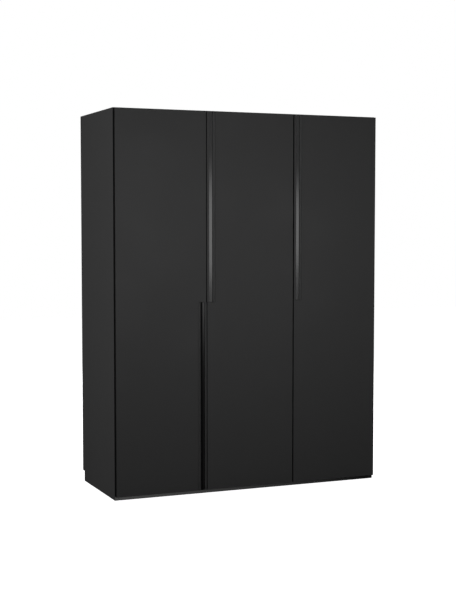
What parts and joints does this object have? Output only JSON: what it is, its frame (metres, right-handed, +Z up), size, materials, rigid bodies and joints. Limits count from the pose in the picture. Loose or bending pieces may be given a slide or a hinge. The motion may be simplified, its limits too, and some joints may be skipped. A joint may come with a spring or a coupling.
{
  "type": "wardrobe with doors",
  "caption": "Free-standing black wardrobe with full-height hinged doors and recessed edge grips, over a hanging bay and a shelf bay.",
  "frame": {"origin": "on the floor, under the middle of the wardrobe's footprint with the doors closed", "axes": "+X to the right as one faces the doors, +Y from the doors towards the wall, +Z up"},
  "size_m": [1.5, 0.6, 2],
  "materials": {
    "carcass_board": "matt black faced board, 18 mm",
    "door_board": "matt black faced board, 18 mm",
    "back_board": "black faced fibreboard, 3 mm",
    "grip_profile": "black anodised, satin",
    "hinge_steel": "nickel plated",
    "rail_chrome": "bright chrome plated",
    "black_plastic": "matt moulded"
  },
  "bodies": {
    "carcass": {"left_side_panel": "carcass_board", "right_side_panel": "carcass_board", "partition_panel": "carcass_board", "top_panel": "carcass_board", "bottom_panel": "carcass_board", "front_plinth": "carcass_board", "rear_plinth": "carcass_board", "hat_shelf": "carcass_board", "upper_fixed_shelf": "carcass_board", "lower_fixed_shelf": "carcass_board", "lower_adjustable_shelf": "carcass_board", "upper_adjustable_shelf": "carcass_board", "left_back_sheet": "back_board", "middle_back_sheet": "back_board", "right_back_sheet": "back_board", "wide_bay_back_strip": "black_plastic", "partition_back_strip": "black_plastic", "front_levelling_foot": "black_plastic", "rear_levelling_foot": "black_plastic", "wardrobe_rail": "rail_chrome", "left_rail_bracket": "rail_chrome", "right_rail_bracket": "rail_chrome", "lower_shelf_pin_front_left": "hinge_steel", "lower_shelf_pin_front_right": "hinge_steel", "lower_shelf_pin_rear_left": "hinge_steel", "lower_shelf_pin_rear_right": "hinge_steel", "upper_shelf_pin_front_left": "hinge_steel", "upper_shelf_pin_front_right": "hinge_steel", "upper_shelf_pin_rear_left": "hinge_steel", "upper_shelf_pin_rear_right": "hinge_steel", "left_door_hinge_arm_1": "hinge_steel", "left_door_hinge_arm_2": "hinge_steel", "left_door_hinge_arm_3": "hinge_steel", "left_door_hinge_arm_4": "hinge_steel", "middle_door_hinge_arm_1": "hinge_steel", "middle_door_hinge_arm_2": "hinge_steel", "middle_door_hinge_arm_3": "hinge_steel", "middle_door_hinge_arm_4": "hinge_steel", "right_door_hinge_arm_1": "hinge_steel", "right_door_hinge_arm_2": "hinge_steel", "right_door_hinge_arm_3": "hinge_steel", "right_door_hinge_arm_4": "hinge_steel"},
    "left_door": {"left_door_panel": "door_board", "left_door_grip": "grip_profile", "left_door_hinge_cup_1": "hinge_steel", "left_door_hinge_cup_2": "hinge_steel", "left_door_hinge_cup_3": "hinge_steel", "left_door_hinge_cup_4": "hinge_steel"},
    "middle_door": {"middle_door_panel": "door_board", "middle_door_grip": "grip_profile", "middle_door_hinge_cup_1": "hinge_steel", "middle_door_hinge_cup_2": "hinge_steel", "middle_door_hinge_cup_3": "hinge_steel", "middle_door_hinge_cup_4": "hinge_steel"},
    "right_door": {"right_door_panel": "door_board", "right_door_grip": "grip_profile", "right_door_hinge_cup_1": "hinge_steel", "right_door_hinge_cup_2": "hinge_steel", "right_door_hinge_cup_3": "hinge_steel", "right_door_hinge_cup_4": "hinge_steel"}
  },
  "joints": [
    {"name": "left_door_hinge", "type": "hinge", "parent": "carcass", "child": "left_door", "pos_m": [-0.742, -0.294, 1.0085], "axis": [0, 0, -1], "range_deg": [0, 105]},
    {"name": "middle_door_hinge", "type": "hinge", "parent": "carcass", "child": "middle_door", "pos_m": [0.242, -0.294, 1.0085], "axis": [0, 0, 1], "range_deg": [0, 105]},
    {"name": "right_door_hinge", "type": "hinge", "parent": "carcass", "child": "right_door", "pos_m": [0.742, -0.294, 1.0085], "axis": [0, 0, 1], "range_deg": [0, 105]}
  ]
}
